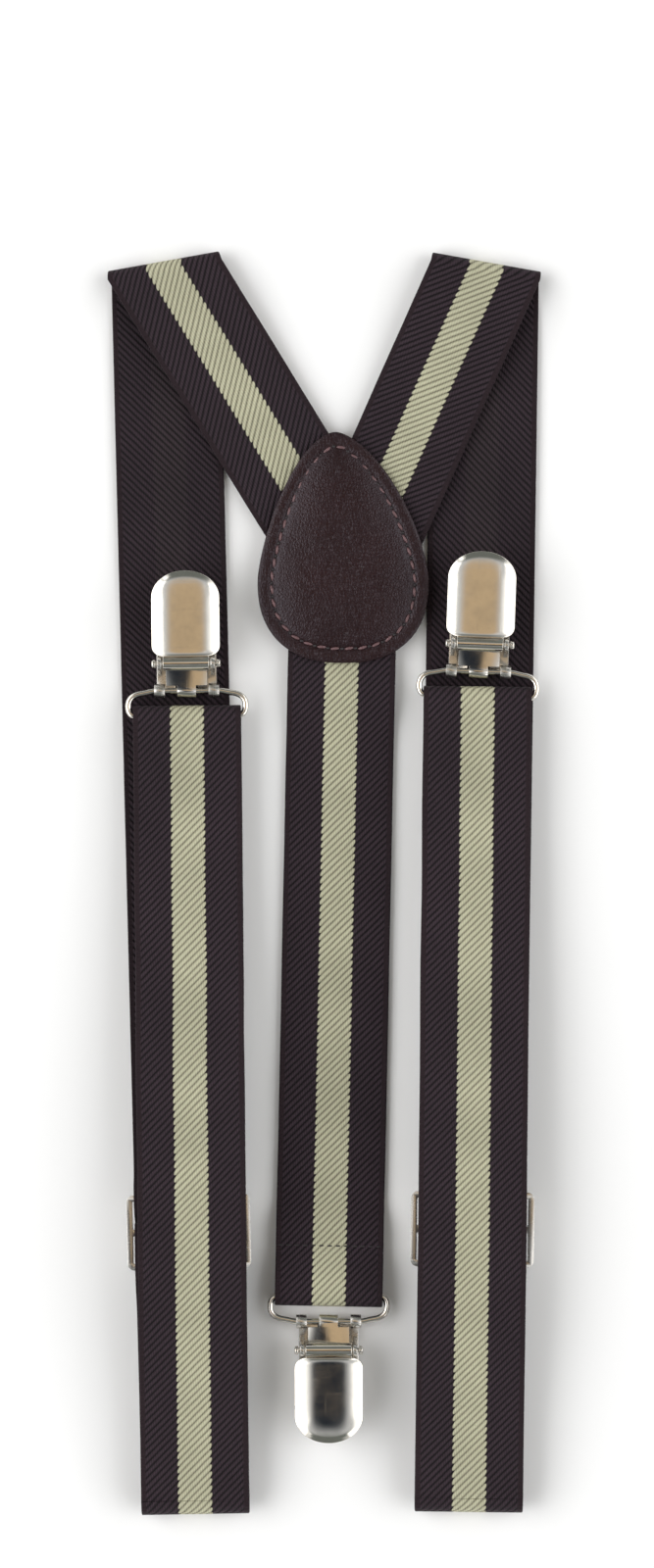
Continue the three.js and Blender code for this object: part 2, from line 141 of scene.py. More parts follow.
def newMaterial(name, viewColor):
    material = bpy.data.materials.new(name)
    material.use_nodes = True
    material.diffuse_color = (*viewColor, 1)
    tree = material.node_tree
    return material, tree, tree.nodes["Principled BSDF"].inputs


def addBump(tree, height, distance, strength):
    node = tree.nodes.new("ShaderNodeBump")
    node.inputs["Strength"].default_value = strength
    node.inputs["Distance"].default_value = distance
    feed(tree, node.inputs["Height"], height)
    return node.outputs["Normal"]


def objectPoint(tree):
    return tree.nodes.new("ShaderNodeTexCoord").outputs["Object"]


floatSocket = "NodeSocketFloat"
vectorSocket = "NodeSocketVector"


# Diagonal ribs of yarn with a plain selvedge. Lengths are in millimetres.
def makeTwillWeave():
    tree, given, result = newGroup(
        "twill weave",
        [("Across", floatSocket, 0.0), ("Along", floatSocket, 0.0),
         ("Rib Pitch", floatSocket, 1.65), ("Selvedge From", floatSocket, 11.3)],
        [("Rib", floatSocket), ("Yarn", floatSocket), ("Selvedge", floatSocket),
         ("Fleck", floatSocket), ("Cloud", floatSocket), ("Height", floatSocket)],
    )
    across, along = given["Across"], given["Along"]
    point = joinedVector(tree, across, along)
    wander = mulAdd(tree, addNoise(tree, point, 0.35, 2.0), 0.25, -0.125)
    shifted = doMath(tree, "ADD", doMath(tree, "SUBTRACT", along, across), wander)
    phase = doMath(tree, "FRACT", doMath(tree, "DIVIDE", shifted, given["Rib Pitch"]))
    rib = ridge(tree, phase, 2.2)

    step = doMath(tree, "ADD", across, doMath(tree, "MULTIPLY", along, 0.12))
    strand = doMath(tree, "FRACT", doMath(tree, "DIVIDE", step, 0.55))
    yarn = ridge(tree, strand, 2.0)

    fromEdge = doMath(tree, "SUBTRACT", doMath(tree, "ABSOLUTE", across), given["Selvedge From"])
    selvedge = mulAdd(tree, fromEdge, 3.0, 0.5, clamp=True)
    tick = doMath(tree, "SINE", doMath(tree, "MULTIPLY", along, 7.5))
    tick = mulAdd(tree, tick, 0.12, 0.62)

    woven = mulAdd(tree, yarn, 0.22, doMath(tree, "MULTIPLY", rib, 0.78))
    flat = doMath(tree, "SUBTRACT", 1.0, selvedge)
    height = mulAdd(tree, woven, flat, doMath(tree, "MULTIPLY", tick, selvedge))
    fleck = addNoise(tree, stretched(tree, point, (5.0, 2.2, 1.0)), 1.0, 4.0, 0.65)
    cloud = addNoise(tree, point, 0.05, 2.0)
    for label, value in zip(("Rib", "Yarn", "Selvedge", "Fleck", "Cloud", "Height"),
                            (rib, yarn, selvedge, fleck, cloud, height)):
        feed(tree, result[label], value)
    return tree


# The middle stripe: every rib carries its pale yarn a little further than the groove beside it.
def makeStripeMask():
    tree, given, result = newGroup(
        "serrated stripe",
        [("Across", floatSocket, 0.0), ("Rib", floatSocket, 0.0),
         ("Half Width", floatSocket, 3.75), ("Tooth", floatSocket, 0.55)],
        [("Mask", floatSocket)],
    )
    reach = mulAdd(tree, given["Rib"], given["Tooth"], given["Half Width"])
    reach = mulAdd(tree, given["Tooth"], -0.62, reach)
    inside = doMath(tree, "SUBTRACT", reach, doMath(tree, "ABSOLUTE", given["Across"]))
    feed(tree, result["Mask"], mulAdd(tree, inside, 5.0, 0.5, clamp=True))
    return tree


# Handling marks: hairline scratches and cloudy smudges.
def makeWear():
    tree, given, result = newGroup(
        "handling wear",
        [("Vector", vectorSocket, None), ("Scratch Amount", floatSocket, 0.5),
         ("Smudge Amount", floatSocket, 0.5)],
        [("Scratches", floatSocket), ("Smudges", floatSocket)],
    )
    total = None
    for turn, scale in ((0.3, (2200, 60, 60)), (-0.9, (60, 1800, 60)), (1.3, (2600, 80, 60))):
        line = addNoise(tree, stretched(tree, given["Vector"], scale, (0.2, 0.1, turn)), 1.0, 2.0)
        line = mulAdd(tree, line, 9.0, -5.9, clamp=True)
        total = line if total is None else doMath(tree, "MAXIMUM", total, line)
    smudge = addNoise(tree, given["Vector"], 260.0, 4.0, 0.6)
    smudge = mulAdd(tree, smudge, 2.4, -0.8, clamp=True)
    feed(tree, result["Scratches"], doMath(tree, "MULTIPLY", total, given["Scratch Amount"]))
    feed(tree, result["Smudges"], doMath(tree, "MULTIPLY", smudge, given["Smudge Amount"]))
    return tree


# Pebbled grain with fine creases.
def makeGrain():
    tree, given, result = newGroup(
        "leather grain",
        [("Vector", vectorSocket, None), ("Scale", floatSocket, 1500.0)],
        [("Pebble", floatSocket), ("Crease", floatSocket), ("Cloud", floatSocket)],
    )
    cells = tree.nodes.new("ShaderNodeTexVoronoi")
    cells.feature = "DISTANCE_TO_EDGE"
    warp = addNoise(tree, given["Vector"], 700.0, 2.0)
    moved = tree.nodes.new("ShaderNodeVectorMath")
    moved.operation = "MULTIPLY_ADD"
    feed(tree, moved.inputs[0], warp)
    moved.inputs[1].default_value = (0.0009, 0.0009, 0.0009)
    feed(tree, moved.inputs[2], given["Vector"])
    feed(tree, cells.inputs["Vector"], moved.outputs[0])
    feed(tree, cells.inputs["Scale"], given["Scale"])
    pebble = doMath(tree, "MULTIPLY", cells.outputs["Distance"], 3.2, clamp=True)
    crease = addNoise(tree, stretched(tree, given["Vector"], (900, 260, 260), (0, 0, 0.5)), 1.0, 5.0, 0.7)
    feed(tree, result["Pebble"], pebble)
    feed(tree, result["Crease"], crease)
    feed(tree, result["Cloud"], addNoise(tree, given["Vector"], 70.0, 3.0))
    return tree


twillWeave = makeTwillWeave()
serratedStripe = makeStripeMask()
handlingWear = makeWear()
leatherGrain = makeGrain()


# Webbing colours. groove and creamGroove are painted shade in the grooves between the ribs (groove also
# gives random dark flecks at the selvedge); rib and cream carry painted highlight on the crests.
webbingColors = {
    "groove": (0.0040, 0.0025, 0.0034, 1),
    "rib": (0.043, 0.0285, 0.037, 1),
    "selvedge": (0.034, 0.020, 0.025, 1),
    "creamGroove": (0.085, 0.082, 0.05, 1),
    "cream": (0.52, 0.505, 0.36, 1),
}


def makeWebbing(name, stripeStrength, dim):
    material, tree, surface = newMaterial(name, webbingColors["rib"][:3])
    uv = tree.nodes.new("ShaderNodeUVMap")
    uv.uv_map = "strap"
    parts = tree.nodes.new("ShaderNodeSeparateXYZ")
    feed(tree, parts.inputs[0], uv.outputs["UV"])
    across = doMath(tree, "MULTIPLY", parts.outputs["X"], webbing["width"])
    along = doMath(tree, "MULTIPLY", parts.outputs["Y"], webbing["width"])
    weave = placeGroup(tree, twillWeave, Across=across, Along=along)
    stripe = placeGroup(tree, serratedStripe, Across=across, Rib=weave["Rib"])["Mask"]
    stripe = doMath(tree, "MULTIPLY", stripe, stripeStrength)

    ribs = doMath(tree, "MULTIPLY", weave["Rib"], 0.75)
    lift = mulAdd(tree, weave["Yarn"], 0.25, ribs)
    lowered = doMath(tree, "ADD", lift, -0.35)
    lift = mulAdd(tree, weave["Fleck"], 0.7, lowered, clamp=True)
    crestLightGrooveShade = doMath(tree, "POWER", lift, 2.2)  # painted highlight and shade: the dark yarn is coloured light only on each rib's crest and dark in the grooves
    dark = mixColors(tree, crestLightGrooveShade, webbingColors["groove"], webbingColors["rib"])
    edge = mixColors(tree, weave["Fleck"], webbingColors["groove"], webbingColors["selvedge"])
    dark = mixColors(tree, weave["Selvedge"], dark, edge)
    # painted highlight and shade on the cream stripe too: cream on the crests, creamGroove in the grooves,
    # with random flecks
    pale = mixColors(tree, lift, webbingColors["creamGroove"], webbingColors["cream"])
    color = mixColors(tree, stripe, dark, pale)
    shade = mulAdd(tree, weave["Cloud"], 0.5, dim)
    tint = tree.nodes.new("ShaderNodeVectorMath")
    tint.operation = "SCALE"
    feed(tree, tint.inputs[0], color)
    feed(tree, tint.inputs["Scale"], shade)
    feed(tree, surface["Base Color"], tint.outputs[0])
    feed(tree, surface["Roughness"], mulAdd(tree, weave["Fleck"], 0.25, 0.66))
    feed(tree, surface["Normal"], addBump(tree, weave["Height"], 0.35 * mm, 0.9))
    surface["Specular IOR Level"].default_value = 0.16
    surface["Sheen Weight"].default_value = 0.04
    surface["Sheen Roughness"].default_value = 0.4
    return material


leatherColors = {
    "view": (0.05, 0.025, 0.026),
    "deep": (0.0088, 0.0020, 0.0020, 1),
    "warm": (0.023, 0.0058, 0.0060, 1),
    # pit is painted shade, for the hollows between the grain's pebbles
    "pit": (0.006, 0.0024, 0.0026, 1),
    "gleam": (0.95, 0.90, 1.0, 1),
}


def makeLeather():
    material, tree, surface = newMaterial("leatherette", leatherColors["view"])
    grain = placeGroup(tree, leatherGrain, Vector=objectPoint(tree))
    creased = doMath(tree, "MULTIPLY", grain["Crease"], 0.25)
    tone = mulAdd(tree, grain["Cloud"], 0.9, creased)
    tone = doMath(tree, "SUBTRACT", tone, 0.1, clamp=True)
    color = mixColors(tree, tone, leatherColors["deep"], leatherColors["warm"])
    # painted shade: the hollows between the pebbles are coloured toward the dark pit colour
    pitShade = mulAdd(tree, grain["Pebble"], -0.3, 0.3)
    color = mixColors(tree, pitShade, color, leatherColors["pit"])
    feed(tree, surface["Base Color"], color)
    feed(tree, surface["Roughness"], mulAdd(tree, grain["Crease"], 0.3, 0.17))
    pebbles = doMath(tree, "MULTIPLY", grain["Pebble"], 0.4)
    relief = mulAdd(tree, grain["Crease"], 0.6, pebbles)
    feed(tree, surface["Normal"], addBump(tree, relief, 0.16 * mm, 0.9))
    surface["Specular IOR Level"].default_value = 0.36
    surface["Specular Tint"].default_value = leatherColors["gleam"]
    return material


def makeNickel(name, base, roughness):
    material, tree, surface = newMaterial(name, base[:3])
    wear = placeGroup(tree, handlingWear, Vector=objectPoint(tree))
    dulled = mixColors(tree, wear["Smudges"], base, tuple(0.8 * c for c in base[:3]) + (1,))
    feed(tree, surface["Base Color"], dulled)
    rough = mulAdd(tree, wear["Smudges"], 0.14, roughness)
    rough = mulAdd(tree, wear["Scratches"], 0.18, rough)
    feed(tree, surface["Roughness"], rough)
    feed(tree, surface["Normal"], addBump(tree, wear["Scratches"], -0.01 * mm, 0.5))
    surface["Metallic"].default_value = 1.0
    return material


def makeThread(name, pale, deep):
    material, tree, surface = newMaterial(name, pale[:3])
    strands = addNoise(tree, stretched(tree, objectPoint(tree), (3500, 3500, 3500)), 1.0, 3.0)
    feed(tree, surface["Base Color"], mixColors(tree, strands, deep, pale))
    feed(tree, surface["Roughness"], mulAdd(tree, strands, 0.2, 0.4))
    feed(tree, surface["Normal"], addBump(tree, strands, 0.06 * mm, 0.7))
    return material


plasticColors = {
    "view": (0.02, 0.02, 0.022),
    "clean": (0.014, 0.014, 0.016, 1),
    "smudged": (0.03, 0.03, 0.033, 1),
}


def makePlastic():
    material, tree, surface = newMaterial("grip plastic", plasticColors["view"])
    wear = placeGroup(tree, handlingWear, Vector=objectPoint(tree))
    stipple = addNoise(tree, objectPoint(tree), 4000.0, 2.0)
    color = mixColors(tree, wear["Smudges"], plasticColors["clean"], plasticColors["smudged"])
    feed(tree, surface["Base Color"], color)
    feed(tree, surface["Roughness"], mulAdd(tree, stipple, 0.2, 0.45))
    feed(tree, surface["Normal"], addBump(tree, stipple, 0.03 * mm, 0.6))
    return material


webbing = {
    "width": 25.0,
    "thick": 1.15,
    "halfLayer": 0.6,
    "layerGap": 0.3,
    "layerPitch": 1.5,
    "floorLayer": 0.6,
    "columns": 26,
    "rowLength": 1.3,
    "edgeRound": 0.3,
    "ribPitch": 1.65,
}
stripedFace = makeWebbing("webbing face", 1.0, 0.75)
plainFace = makeWebbing("webbing inside", 0.01, 0.62)
leather = makeLeather()
nickel = makeNickel("polished nickel", (0.80, 0.76, 0.69, 1), 0.11)
frameNickel = makeNickel("satin nickel", (0.72, 0.69, 0.64, 1), 0.24)
maroonThread = makeThread("maroon thread", (0.21, 0.115, 0.12, 1), (0.06, 0.026, 0.03, 1))
# this dark thread material is also the painted shade of the patch's needle holes
darkThreadAndHoleShade = makeThread("dark thread and hole shade", (0.022, 0.014, 0.016, 1), (0.006, 0.004, 0.005, 1))
gripPlastic = makePlastic()
print("materials made")


def finishMesh(name, bm, materials, smooth=True):
    mesh = bpy.data.meshes.new(name)
    bm.to_mesh(mesh)
    bm.free()
    for material in materials:
        mesh.materials.append(material)
    mesh.polygons.foreach_set("use_smooth", [smooth] * len(mesh.polygons))
    piece = bpy.data.objects.new(name, mesh)
    scene.collection.objects.link(piece)
    return piece


def softenEdges(piece, width, segments=2, angle=35):
    bevel = piece.modifiers.new("soft edges", "BEVEL")
    bevel.width = width * mm
    bevel.segments = segments
    bevel.limit_method = "ANGLE"
    bevel.angle_limit = math.radians(angle)
    bevel.harden_normals = True
    return bevel


def giveThickness(piece, thick, offset=0.0, inside=0, even=True):
    wall = piece.modifiers.new("thickness", "SOLIDIFY")
    wall.thickness = thick * mm
    wall.offset = offset
    wall.use_even_offset = even
    wall.material_offset = inside


# A strip's long edges are rounded. Its ends stay square, so that two strips meet without a line.
def markStripEdges(bm):
    weights = bm.edges.layers.float.new("bevel_weight_edge")
    for edge in bm.edges:
        if edge.is_boundary:
            a, b = (vert.co for vert in edge.verts)
            alongSide = abs(a.x) > 0.999 and abs(b.x) > 0.999
            edge[weights] = 1.0 if alongSide else 0.0
            edge.smooth = alongSide


def newStrip(rows):
    bm = bmesh.new()
    bm.loops.layers.uv.new("strap")
    bmesh.ops.create_grid(bm, x_segments=webbing["columns"], y_segments=rows, size=1)
    markStripEdges(bm)
    return bm


# spots gives each vertex its place across and along the webbing, for the map.
def finishStrip(name, bm, spots, facingDown):
    uvLayer = bm.loops.layers.uv["strap"]
    for face in bm.faces:
        for loop in face.loops:
            u, along = spots[loop.vert]
            loop[uvLayer].uv = (u / webbing["width"], along / webbing["width"])
    if facingDown:
        bmesh.ops.reverse_faces(bm, faces=bm.faces)
    piece = finishMesh(name, bm, [stripedFace, plainFace])
    giveThickness(piece, webbing["thick"], inside=1)
    softenEdges(piece, webbing["edgeRound"], 3).limit_method = "WEIGHT"
    return piece


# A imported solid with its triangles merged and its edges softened.
def refined(node, name, material, width=0.12, angle=35):
    bm = bmesh.new()
    bm.from_mesh(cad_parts[node].data)
    bmesh.ops.remove_doubles(bm, verts=bm.verts, dist=0.002 * mm)
    bmesh.ops.dissolve_limit(bm, angle_limit=math.radians(2), verts=bm.verts, edges=bm.edges)
    piece = finishMesh(name, bm, [material])
    softenEdges(piece, width, 2, angle)
    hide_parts(node)
    return piece


def toPlan(start, end):
    turn = math.atan2(end[1] - start[1], end[0] - start[0]) - math.pi / 2
    return Matrix.Translation((start[0], start[1], 0)) @ Matrix.Rotation(turn, 4, "Z")


def reach(start, end):
    return math.hypot(end[0] - start[0], end[1] - start[1])


def straightTo(path, y, z, step=2.0):
    y0, z0 = path[-1]
    count = max(1, math.ceil(abs(y - y0) / step))
    path += [(y0 + (y - y0) * i / count, z0 + (z - z0) * i / count) for i in range(1, count + 1)]


def easeTo(path, y, z, count=20):
    y0, z0 = path[-1]
    for i in range(1, count + 1):
        t = i / count
        along = 1.5 * t * (1 - t) ** 2 + 1.5 * t * t * (1 - t) + t**3
        rise = 3 * t * t * (1 - t) + t**3
        path.append((y0 + (y - y0) * along, z0 + (z - z0) * rise))


def turnTo(path, centre, radius, startDegrees, endDegrees, count=18):
    for i in range(1, count + 1):
        angle = math.radians(startDegrees + (endDegrees - startDegrees) * i / count)
        path.append((centre[0] + radius * math.cos(angle), centre[1] + radius * math.sin(angle)))


def measured(path):
    marks = [0.0]
    for a, b in zip(path, path[1:]):
        marks.append(marks[-1] + reach(a, b))
    return marks


def pointOn(path, marks, s):
    i = min(max(bisect_right(marks, s) - 1, 0), len(path) - 2)
    t = (s - marks[i]) / (marks[i + 1] - marks[i])
    return tuple(a + (b - a) * t for a, b in zip(path[i], path[i + 1]))


def sway(seed, s, u, amount):
    return amount * noise.noise((s * 0.045, u * 0.03, seed * 7.3))


# A strip of webbing: a flat grid laid along its path, with a map that measures it in strap widths.
def layStrip(name, path, place, start=None, end=None, mapStart=0.0, mapWay=1, facingDown=False,
             seed=1.0, wave=0.12, origin=0.0):
    marks = measured(path)
    startAt = start or (lambda u: 0.0)
    endAt = end or (lambda u: marks[-1])
    half = webbing["width"] / 2
    lengths = [endAt(u) - startAt(u) for u in (-half, -half / 2, 0, half / 2, half)]
    rows = max(6, round(lengths[2] / webbing["rowLength"]))
    bm = newStrip(rows)
    spots = {}
    for vert in bm.verts:
        u = vert.co.x * webbing["width"] / 2
        t = (vert.co.y + 1) / 2
        s = startAt(u) + (endAt(u) - startAt(u)) * t
        y, z = pointOn(path, marks, s)
        held = math.sin(math.pi * min(max(t, 0), 1)) ** 0.5
        z += sway(seed, s, u, wave) * held
        spots[vert] = (u, mapStart + mapWay * (s - origin))
        vert.co = (place @ Vector((u + sway(seed + 5, s, 0, wave) * held, y, z))) * mm
    return finishStrip(name, bm, spots, facingDown)


# Places in the plan, in millimetres. A strap's run goes from fold to fold, or from fold to clip bar.
plan = {
    "left": {"topFold": (-37.2, 142.24), "bottomFold": (-30.05, -142.96),
             "clipBar": (-32.05, 44.49), "clipTurn": 0.1, "inward": 1},
    "right": {"topFold": (37.2, 142.04), "bottomFold": (33.3, -142.46),
              "clipBar": (35.4, 48.94), "clipTurn": -1.4, "inward": -1},
}
backPlan = {"top": (4.1, 62.44), "clipBar": (0.7, -101.96), "clipTurn": 1.3}
yokePlan = {"meet": (6.0, 72.14), "crotch": (4.2, 98.84), "seamGap": 0.2, "endGap": 0.3}

folds = {"bottomRadius": 3.0, "topRadius": 1.5, "topTilt": 10.2, "topFlexFrom": 137.94}
bails = {"barSpacing": 5.8, "loopRadius": 1.75, "frontHeight": 3.9, "backHeight": 2.35}
adjusters = {"place": 62.0, "height": 3.9, "bar": 1.4, "endBar": 8.0, "ramp": 7.5, "crest": 10.1,
             "tailRun": 13, "tailDrop": 0.55}

floorLayer, layerPitch = webbing["floorLayer"], webbing["layerPitch"]
shoulderStart = 10.0  # the shoulder strap's path begins this far beyond its fold
shoulderLevel = 5.0  # and stays level until here


def frontPath(length):
    crest = adjusters["place"] - adjusters["endBar"] / 2
    inner = floorLayer + 2 * folds["bottomRadius"] - layerPitch
    path = [(0.0, inner + layerPitch)]
    easeTo(path, crest, adjusters["crest"])
    easeTo(path, length, bails["frontHeight"] + bails["loopRadius"])
    turnTo(path, (length, bails["frontHeight"]), bails["loopRadius"], 90, -90)
    easeTo(path, crest, adjusters["crest"] - layerPitch)
    easeTo(path, 0.0, inner)
    return path


def rearPath(length):
    place, endBar, ramp = adjusters["place"], adjusters["endBar"], adjusters["ramp"]
    overBar = adjusters["height"] + adjusters["bar"] / 2 + webbing["layerGap"] + webbing["halfLayer"]
    path = [(0.0, floorLayer)]
    straightTo(path, place - endBar - ramp, floorLayer)
    easeTo(path, place - endBar, overBar)
    easeTo(path, place, floorLayer)
    easeTo(path, place + endBar, overBar)
    easeTo(path, place + endBar + ramp, floorLayer)
    straightTo(path, length, floorLayer)
    return path


def tailPath():
    place, endBar = adjusters["place"], adjusters["endBar"]
    aboveStrap = adjusters["height"] + adjusters["bar"] / 2 + 2 * layerPitch - adjusters["tailDrop"]
    path = [(0.0, floorLayer + layerPitch)]
    straightTo(path, place - endBar - adjusters["tailRun"], floorLayer + layerPitch)
    easeTo(path, place - endBar, aboveStrap)
    easeTo(path, place, adjusters["height"] + bails["loopRadius"])
    turnTo(path, (place, adjusters["height"]), bails["loopRadius"], 90, -90)
    return path


def shoulderPath(length):
    top = floorLayer + 2 * folds["topRadius"]
    path = [(-shoulderStart, top)]
    straightTo(path, shoulderLevel, top)
    easeTo(path, length / 2, floorLayer + layerPitch)
    straightTo(path, length + 30, floorLayer + layerPitch)
    return path


# Distance along a strip, for each place across it, at which it meets a line in the plan.
def cutBy(place, path, point, direction):
    marks = measured(path)
    back = place.inverted()
    p = back @ Vector((point[0], point[1], 0))
    d = (back.to_3x3() @ Vector((direction[0], direction[1], 0))).normalized()

    def at(u):
        y = p.y + d.y * (u - p.x) / d.x
        i = min(max(bisect_right([q[0] for q in path], y) - 1, 0), len(path) - 2)
        t = (y - path[i][0]) / (path[i + 1][0] - path[i][0])
        return marks[i] + (marks[i + 1] - marks[i]) * t

    return at


def pathLength(path):
    return measured(path)[-1]


def buildTopFold(side):
    points = plan[side]
    tilt = math.radians(folds["topTilt"]) * points["inward"]
    radius = folds["topRadius"]
    line = (math.cos(tilt), math.sin(tilt))
    outward = (-line[1], line[0])
    shoulderPlace = toPlan(points["topFold"], yokePlan["meet"])
    rearPlace = toPlan(points["bottomFold"], points["topFold"])
    length = reach(points["topFold"], yokePlan["meet"])
    rearLength = reach(points["bottomFold"], points["topFold"])
    shoulder = shoulderPath(length)
    rear = rearPath(rearLength + 10)
    flex = (0, folds["topFlexFrom"])
    level = (1, 0)
    shoulderFold = cutBy(shoulderPlace, shoulder, points["topFold"], line)
    shoulderFlex = cutBy(shoulderPlace, shoulder, flex, level)
    rearFold = cutBy(rearPlace, rear, points["topFold"], line)
    rearFlex = cutBy(rearPlace, rear, flex, level)

    # the two shoulder straps meet on a line below the crotch and end under the patch
    crotch, meet = yokePlan["crotch"], yokePlan["meet"]
    down = (meet[0] - crotch[0], meet[1] - crotch[1])
    onSeam = (crotch[0] - yokePlan["seamGap"] * points["inward"], crotch[1])
    mitre = cutBy(shoulderPlace, shoulder, onSeam, down)
    bottom = cutBy(shoulderPlace, shoulder, (0, backPlan["top"][1] + yokePlan["endGap"]), level)
    strap = layStrip(side + "_shoulder_webbing", shoulder, shoulderPlace, start=shoulderFlex,
                     end=lambda u: min(mitre(u), bottom(u)), seed=2.0 + points["inward"],
                     wave=0.1, origin=shoulderStart)
    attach(strap, "yoke")
    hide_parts(side + "_shoulder_strap")

    # the fold itself: up the shoulder strap, round the turn and down the rear strap
    marks, rearMarks = measured(shoulder), measured(rear)
    bendLength = math.pi * radius
    rearMapStart = math.pi * folds["bottomRadius"]
    ownEnd = shoulderFold(0) - shoulderStart - bendLength - (rearFold(0) - rearFlex(0))
    ribShift = (rearFlex(0) + rearMapStart - ownEnd) / webbing["ribPitch"]
    ribShift = (ribShift - math.floor(ribShift + 0.5)) * webbing["ribPitch"]
    rowsEach, rowsTurn = 5, 16
    rows = 2 * rowsEach + rowsTurn
    bm = newStrip(rows)
    spots = {}
    for vert in bm.verts:
        u = vert.co.x * webbing["width"] / 2
        row = (vert.co.y + 1) / 2 * rows
        if row <= rowsEach + 1e-6:  # shoulder side, from the cut to the fold line
            t = row / rowsEach
            s = shoulderFlex(u) + (shoulderFold(u) - shoulderFlex(u)) * t
            y, z = pointOn(shoulder, marks, s)
            spot = shoulderPlace @ Vector((u, y, z))
            mapAlong = s - shoulderStart
        elif row >= rowsEach + rowsTurn - 1e-6:  # rear side
            t = (row - rowsEach - rowsTurn) / rowsEach
            s = rearFold(-u) + (rearFlex(-u) - rearFold(-u)) * t
            y, z = pointOn(rear, rearMarks, s)
            spot = rearPlace @ Vector((-u, y, z))
            mapAlong = shoulderFold(u) - shoulderStart - bendLength - (rearFold(-u) - s) + ribShift * t
        else:
            t = (row - rowsEach) / rowsTurn
            yFront, zFront = pointOn(shoulder, marks, shoulderFold(u))
            yRear, zRear = pointOn(rear, rearMarks, rearFold(-u))
            front = shoulderPlace @ Vector((u, yFront, zFront))
            rearSpot = rearPlace @ Vector((-u, yRear, zRear))
            middle = front.lerp(rearSpot, t)
            angle = math.pi * t
            spot = Vector((middle.x + outward[0] * radius * math.sin(angle),
                           middle.y + outward[1] * radius * math.sin(angle),
                           floorLayer + radius + radius * math.cos(angle)))
            mapAlong = shoulderFold(u) - shoulderStart - bendLength * t
        spots[vert] = (u, mapAlong)
        vert.co = spot * mm
    fold = finishStrip(side + "_top_fold", bm, spots, True)
    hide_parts(side + "_top_bend")
    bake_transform(fold)
    return rear, rearPlace, rearFlex, fold


def buildSide(side):
    points = plan[side]
    seed = 3.0 + 2 * points["inward"]
    rear, rearPlace, rearFlex, topFold = buildTopFold(side)
    front = side + "_front"

    place, endBar, ramp = adjusters["place"], adjusters["endBar"], adjusters["ramp"]
    marks = measured(rear)
    middle = marks[min(range(len(rear)), key=lambda i: abs(rear[i][0] - place))]
    mapAtFold = -math.pi * folds["bottomRadius"]
    lower = layStrip(side + "_rear_webbing_lower", rear, rearPlace, end=lambda u: middle,
                     mapStart=mapAtFold, mapWay=-1, facingDown=True, seed=seed, wave=0.03)
    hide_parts(side + "_rear_strap")
    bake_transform(lower)
    upper = layStrip(side + "_rear_webbing_upper", rear, rearPlace, start=lambda u: middle, end=rearFlex,
                     mapStart=mapAtFold, mapWay=-1, facingDown=True, seed=seed, wave=0.03)
    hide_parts(side + "_rear_strap")
    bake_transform(upper)

    tail = layStrip(side + "_tail_webbing", tailPath(), rearPlace, seed=seed + 1, wave=0.03)
    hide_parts(side + "_tail")
    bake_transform(tail)

    frontPlace = toPlan(points["bottomFold"], points["clipBar"])
    length = reach(points["bottomFold"], points["clipBar"]) - bails["barSpacing"]
    strap = layStrip(front + "_webbing", frontPath(length), frontPlace, seed=seed + 3, wave=0.14)
    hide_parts(side + "_front_strap")
    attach(strap, front)

    # the foot's folds face halfway between the rear run and the front run
    foot, top, bar = points["bottomFold"], points["topFold"], points["clipBar"]
    up = Vector((top[0] - foot[0], top[1] - foot[1])).normalized()
    toClip = Vector((bar[0] - foot[0], bar[1] - foot[1])).normalized()
    between = up + toClip
    foldPlace = toPlan(foot, (foot[0] + between.x, foot[1] + between.y))
    centre = floorLayer + folds["bottomRadius"]
    for label, node, radius, inner in (
        ("_bottom_fold", "_bottom_bend", folds["bottomRadius"], False),
        ("_inner_fold", "_inner_bend", folds["bottomRadius"] - layerPitch, True),
    ):
        path = [(0.0, centre - radius)]
        turnTo(path, (0.0, centre), radius, 270, 90, 24)
        turnPiece = layStrip(side + label, path, foldPlace, mapStart=-math.pi * radius,
                             mapWay=-1 if inner else 1, facingDown=inner, seed=seed, wave=0.0)
        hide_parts(side + node)
        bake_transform(turnPiece)
    return frontPlace, length


patch = {
    "top": 104.64, "waist": 70.09, "bottom": 50.84, "halfWidth": 19.95, "middle": 4.2, "lean": 1.8,
    "heart": (3.9, 73.0), "rings": [0.985, 0.965, 0.94, 0.91, 0.885, 0.865, 0.85, 0.835, 0.82, 0.80, 0.775,
                                    0.74, 0.69, 0.63, 0.56, 0.48, 0.40, 0.31, 0.22, 0.13, 0.06],
    "edgeHeight": 4.05, "puff": 1.7, "puffReach": 12.0, "thick": 1.05,
    "stitchInset": 3.4, "stitchPitch": 3.2, "stitchLength": 2.4, "holeLength": 1.1, "holeRadius": 0.42,
    "threadRadius": 0.36, "rim": 0.5, "rimReach": 0.45, "grooveDepth": 0.38, "grooveWidth": 0.55,
    "pucker": 0.1,
}


# The outline: fuller below its waist, drawn up to a round point above it.
def patchEdge(angle):
    rise = abs(math.sin(angle))
    side = 1 if math.cos(angle) >= 0 else -1
    if math.sin(angle) >= 0:
        spread = max(0.0, 1 - rise**1.45) ** 0.6
        x = patch["middle"] - patch["lean"] * rise**2 + side * spread * patch["halfWidth"]
        y = patch["waist"] + (patch["top"] - patch["waist"]) * rise
    else:
        spread = max(0.0, 1 - rise**2.4) ** 0.42
        x = patch["middle"] + side * spread * patch["halfWidth"]
        y = patch["waist"] - (patch["waist"] - patch["bottom"]) * rise
    return Vector((x, y))


def patchHeight(point, fromEdge):
    border = patch["rim"] * (1 - math.exp(-fromEdge / patch["rimReach"])) - patch["rim"]
    offSeam = (fromEdge - patch["stitchInset"]) / patch["grooveWidth"]
    groove = -patch["grooveDepth"] * math.exp(-(offSeam**2))
    t = min(max((fromEdge - patch["stitchInset"]) / patch["puffReach"], 0), 1)
    puff = patch["puff"] * (1 - (1 - t) ** 2.2)
    pucker = patch["pucker"] * noise.noise((point.x * 0.16, point.y * 0.16, 4.0)) * min(fromEdge, 3) / 3
    return patch["edgeHeight"] + border + groove + puff + pucker


